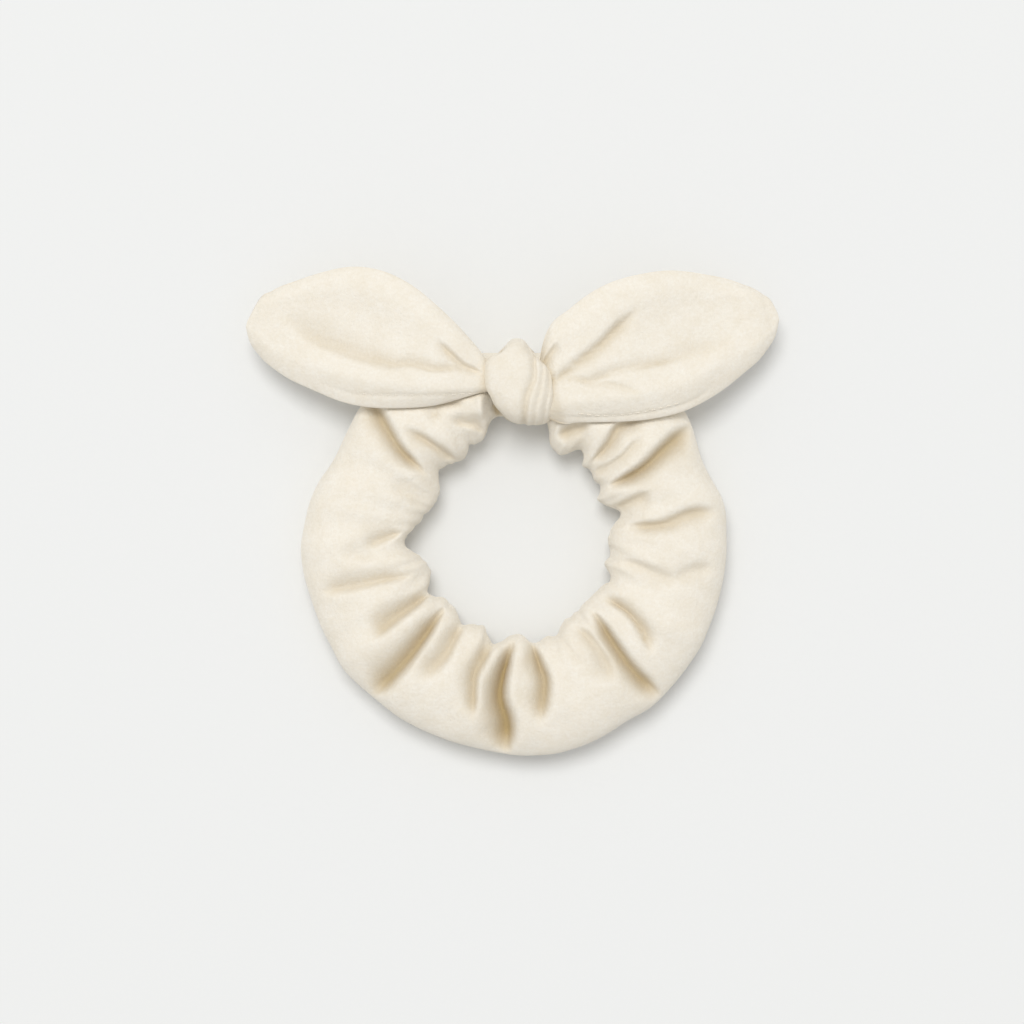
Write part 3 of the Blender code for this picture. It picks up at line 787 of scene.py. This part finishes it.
def make_knot(material):
    rows, columns = KNOT_ROWS, KNOT_COLUMNS
    degrees = np.arange(rows) / rows * 360.0
    turn, around = np.meshgrid(degrees, np.arange(columns) / columns * 2 * math.pi, indexing="ij")
    left = through([(a, b) for a, b, _ in KNOT_EDGES], turn)
    right = through([(a, c) for a, _, c in KNOT_EDGES], turn)
    across = np.cos(around)
    outside = np.sin(around) >= 0.0
    shrink = np.where(outside, 1.0, KNOT_BORE_WIDTH)
    x = (left + right) / 2 + (right - left) / 2 * across * shrink
    beside_hole = smooth_step(turn, 130.0, 170.0) * (1.0 - smooth_step(turn, 190.0, 230.0))
    drop = KNOT_DROP - KNOT_DROP_LESS * beside_hole
    arch = 1.0 - drop * np.abs(across) ** 2.6
    sunk, bank, shade = sink(np.stack([turn * AROUND_KNOT, x], axis=-1), KNOT_PLEATS)
    swell = 0.5 * np.sin(np.radians(turn) * 3.0 + 1.0) * (1.0 - across**2)
    y_out = power(np.cos(np.radians(turn)), KNOT_SQUARE)
    z_out = power(np.sin(np.radians(turn)), KNOT_SQUARE)
    flat_under = smooth_step(turn, 215.0, 235.0) * (1.0 - smooth_step(turn, 305.0, 325.0))
    outer = arch + (swell + bank - sunk) / KNOT_MEAN_HALF * (1.0 - flat_under)
    scale = np.where(outside, outer, KNOT_BORE)
    y = KNOT_CENTRE[1] + KNOT_HALF[1] * y_out * scale
    z = KNOT_CENTRE[2] + KNOT_HALF[2] * z_out * scale
    grid = np.stack([x, y, np.maximum(z, 0.05)], axis=-1)
    grid = relax(grid, 0.3, 2, wrap_rows=True)
    # painted shade in the pleats and along the knot's side edges, over a small even warm tint on its whole
    # outside
    painted_shade = (0.05 + 1.2 * shade + 0.2 * smooth_step(np.abs(across), 0.8, 1.0)) * outside
    piece = grid_mesh("knot", grid, wrap_rows=True, painted_shade=painted_shade)
    add_subdivision(piece, 1)
    piece.data.materials.append(material)
    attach(piece, "band")
    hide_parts("knot_wrap")


# ---------------------------------------------------------------- elastic and threads

SPLICE_START = 20.0
SPLICE_ANGLE = 23.0
SPLICE_STITCHES = 25
ELASTIC_RADIUS = 33.4
ELASTIC_IN_NECK = 3.4  # how far the elastic lies from the inner side of the sleeve's closing seam
ELASTIC_THICK = 0.8
LAP_LIFT = 1.2  # how far out the upper end lies over the lower one
THREAD_RADIUS = 0.22


def elastic_path(angles):
    """The elastic's radius: just behind the inner gathers, and straight across inside the knot."""
    angle = np.asarray(angles, float) % 360.0
    in_neck = (NECK_LOW[1] - RING_Y + ELASTIC_IN_NECK) * straight_through(angle)
    return mix(ELASTIC_RADIUS, in_neck, inside_knot(angle))


def make_elastic(material):
    """One strip of flat elastic, its far end laid over its near end."""
    angles = np.linspace(SPLICE_START, SPLICE_START + 360.0 + SPLICE_ANGLE, 260)
    lift = LAP_LIFT * smooth_step(angles, 335.0, 374.0)
    radius = elastic_path(angles) + lift
    rows = []
    half = (ELASTIC_HIGH[2] - ELASTIC_LOW[2]) / 2
    for height in np.linspace(-half, half, 9):
        rib = 0.12 * math.cos(height / half * math.pi * 4)
        rows.append(ring_places(angles, radius + rib, np.full(angles.shape, ELASTIC_Z + height)))
    piece = grid_mesh("elastic", np.stack(rows, axis=1), wrap_columns=False)
    wall = piece.modifiers.new("strip", "SOLIDIFY")
    wall.thickness = ELASTIC_THICK * MM
    wall.offset = 0.0
    piece.data.materials.append(material)
    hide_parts("elastic_loop")
    stretch(piece)


def thread_tube(name, points, radius, material):
    curve = bpy.data.curves.new(name, "CURVE")
    curve.dimensions = "3D"
    curve.bevel_depth = radius * MM
    curve.bevel_resolution = 3
    curve.use_fill_caps = True
    spline = curve.splines.new("POLY")
    spline.points.add(len(points) - 1)
    for spot, point in zip(spline.points, points):
        spot.co = (*(point * MM), 1.0)
    obj = bpy.data.objects.new(name, curve)
    bpy.context.scene.collection.objects.link(obj)
    mesh = bpy.data.meshes.new_from_object(obj.evaluated_get(bpy.context.evaluated_depsgraph_get()))
    bpy.data.objects.remove(obj, do_unlink=True)
    mesh.shade_smooth()
    piece = bpy.data.objects.new(name, mesh)
    bpy.context.scene.collection.objects.link(piece)
    mesh.materials.append(material)
    return piece


def make_splice(material):
    angles = np.linspace(SPLICE_START + 3.0, SPLICE_START + SPLICE_ANGLE - 3.0, SPLICE_STITCHES)
    radius = elastic_path(angles) + LAP_LIFT + 0.75
    heights = ELASTIC_Z + 2.0 * np.where(np.arange(SPLICE_STITCHES) % 2, 1.0, -1.0)
    piece = thread_tube("splice_stitches", ring_places(angles, radius, heights), THREAD_RADIUS, material)
    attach(piece, "band")
    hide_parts("elastic_splice_stitches")


def make_sleeve_seam(material):
    """The lengthwise seam's thread, sewn inside the tube along its underside."""
    angles = np.linspace(4.0, 356.0, 420)
    inner, outer, low, _ = sleeve_edges(angles)
    heights = low + CLOTH + 1.6 + 0.18 * np.cos(np.arange(len(angles)) * 1.6)
    points = ring_places(angles, mix(inner, outer, 0.40), heights)
    piece = thread_tube("sleeve_seam", points, THREAD_RADIUS, material)
    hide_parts("sleeve_seam_left", "sleeve_seam_right", "sleeve_seam_far")
    stretch(piece)


def finish_node(node, material):
    """Gives a CAD piece whose shape is right its final material."""
    obj = frame["nodes"][node]
    obj.data.materials.clear()
    obj.data.materials.append(material)


# ---------------------------------------------------------------- stage

FRAME_WIDTH_M = 0.2744  # what the camera sees across, at SEEN_HEIGHT_M above the floor
SEEN_HEIGHT_M = 0.010
CAMERA_X_M, CAMERA_Y_M, CAMERA_HEIGHT_M = -0.0003, -0.0001, 0.90
SENSOR = 36.0


def make_stage():
    bpy.ops.mesh.primitive_plane_add(size=40.0)
    floor = bpy.context.object
    floor.name = "floor"
    floor.data.materials.append(paper())


def make_camera():
    data = bpy.data.cameras.new("camera")
    data.sensor_width = SENSOR
    data.lens = SENSOR * (CAMERA_HEIGHT_M - SEEN_HEIGHT_M) / FRAME_WIDTH_M
    data.clip_start = 0.01
    camera = bpy.data.objects.new("camera", data)
    camera.location = (CAMERA_X_M, CAMERA_Y_M, CAMERA_HEIGHT_M)
    bpy.context.scene.collection.objects.link(camera)
    bpy.context.scene.camera = camera


def area_light(name, place, size, energy):
    data = bpy.data.lights.new(name, "AREA")
    data.shape = "DISK"
    data.size = size
    data.energy = energy
    light = bpy.data.objects.new(name, data)
    light.location = place
    light.rotation_euler = (-Vector(place)).to_track_quat("-Z", "Y").to_euler()
    bpy.context.scene.collection.objects.link(light)


AMBIENT = 0.59
KEY_SHARE = 0.455  # about how bright the lamp alone makes white paper, where white is 1
KEY_DISTANCE_M = 6.0
KEY_SIZE_M = 2.6
KEY_LEAN = math.radians(18.0)
KEY_SIDE = math.radians(5.0)


def make_light():
    """White surroundings with one large soft lamp, a little behind the knot and to the left."""
    world = bpy.data.worlds.new("studio")
    world.use_nodes = True
    background = world.node_tree.nodes["Background"]
    background.inputs["Color"].default_value = (1.0, 1.0, 1.0, 1.0)
    background.inputs["Strength"].default_value = AMBIENT
    bpy.context.scene.world = world
    energy = KEY_SHARE * math.pi**2 * KEY_DISTANCE_M**2 / math.cos(KEY_LEAN)
    place = (-KEY_DISTANCE_M * math.sin(KEY_SIDE), KEY_DISTANCE_M * math.sin(KEY_LEAN),
             KEY_DISTANCE_M * math.cos(KEY_LEAN))
    area_light("key", place, KEY_SIZE_M, energy)


bpy.context.scene.view_settings.view_transform = "Standard"
cream = velour()
thread = thread_material()
make_sleeve(cream)
for ear_place in EARS:
    make_ear(ear_place, cream)
    make_ear_stitches(ear_place, thread)
make_knot(cream)
make_elastic(elastic_material())
make_splice(thread)
make_sleeve_seam(thread)
finish_node("sleeve_closing_stitches", thread)
finish_node("knot_core", cream)
make_stage()
make_camera()
make_light()
